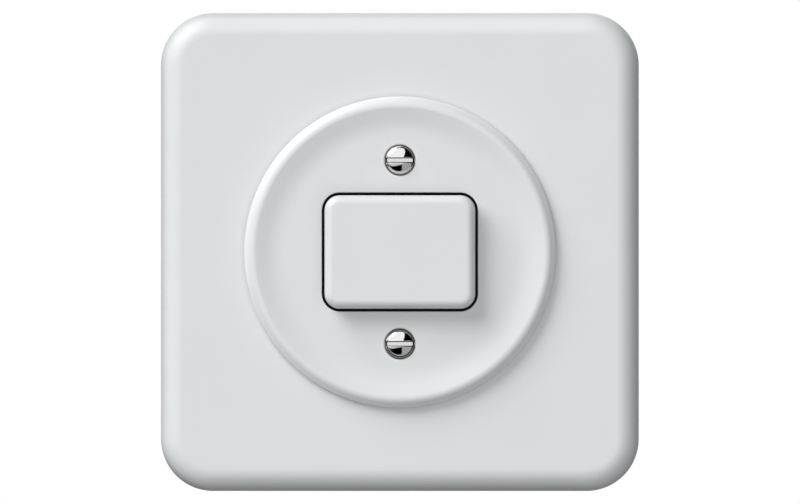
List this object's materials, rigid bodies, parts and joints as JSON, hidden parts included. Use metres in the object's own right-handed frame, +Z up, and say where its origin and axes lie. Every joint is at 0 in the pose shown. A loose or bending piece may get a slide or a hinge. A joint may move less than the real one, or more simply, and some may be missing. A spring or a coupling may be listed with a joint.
{
  "type": "push button light switch",
  "caption": "Square flush wall switch: dished round disc, rectangular spring-return push button, and an alternate-action changeover insert on a steel mounting plate.",
  "frame": {"origin": "centre of the mounting plate's rear face, on the wall plane", "axes": "+X right, +Z up, +Y into the wall; the button faces -Y"},
  "size_m": [0.086, 0.0414, 0.086],
  "materials": {
    "cover_white": "smooth satin moulding",
    "button_white": "smooth satin moulding",
    "screw_nickel": "polished nickel plate",
    "screw_zinc": "bright zinc plate",
    "plate_steel": "zinc-plated sheet",
    "housing_grey": "matt thermoset moulding",
    "plunger_black": "matt moulding",
    "rocker_ivory": "matt moulding",
    "spring_steel": "drawn spring wire and strip",
    "brass": "stamped and drilled, bare",
    "contact_silver": "bare silver"
  },
  "bodies": {
    "switch_body": {"cover_plate": "cover_white", "cover_disc": "cover_white", "disc_screws": "screw_nickel", "threaded_bushes": "brass", "mounting_plate": "plate_steel", "insert_screws": "screw_zinc", "housing_cover": "housing_grey", "housing_base": "housing_grey", "housing_screws": "screw_zinc", "return_spring_left": "spring_steel", "return_spring_right": "spring_steel", "fixed_contacts": "contact_silver", "contact_strip_left": "brass", "contact_strip_right": "brass", "fulcrum_strip": "brass", "terminal_block_left": "brass", "terminal_block_right": "brass", "terminal_block_common": "brass", "terminal_screws": "screw_zinc"},
    "button": {"button_cap": "button_white", "plunger": "plunger_black", "tappet_spring": "spring_steel"},
    "rocker": {"rocker": "rocker_ivory", "rocker_axle": "spring_steel", "contact_spring": "spring_steel"},
    "contact_pin": {"contact_pin": "plunger_black"},
    "contact_lever": {"contact_lever": "brass", "moving_contacts": "contact_silver"}
  },
  "joints": [
    {"name": "button_press", "type": "slide", "parent": "switch_body", "child": "button", "axis": [0, 1, 0], "range_m": [0, 0.0036], "stiffness_N_per_m": 500, "springref_m": -0.003, "deforming": ["return_spring_left", "return_spring_right", "tappet_spring"]},
    {"name": "rocker_tilt", "type": "hinge", "parent": "switch_body", "child": "rocker", "pos_m": [0, 0.0103, 0], "axis": [0, 0, 1], "range_deg": [0, 20]},
    {"name": "contact_lever_tilt", "type": "hinge", "parent": "switch_body", "child": "contact_lever", "pos_m": [0, 0.0198, 0], "axis": [0, 0, 1], "range_deg": [-16, 0]},
    {"name": "contact_pin_slide", "type": "slide", "parent": "rocker", "child": "contact_pin", "axis": [0.1736, 0.9848, 0], "range_m": [-0.0006, 0.0003], "stiffness_N_per_m": 200, "springref_m": 0.0003, "deforming": ["contact_spring"]}
  ],
  "couplings": [
    {"joint": "contact_lever_tilt", "follows": "rocker_tilt", "ratio": -0.8}
  ]
}
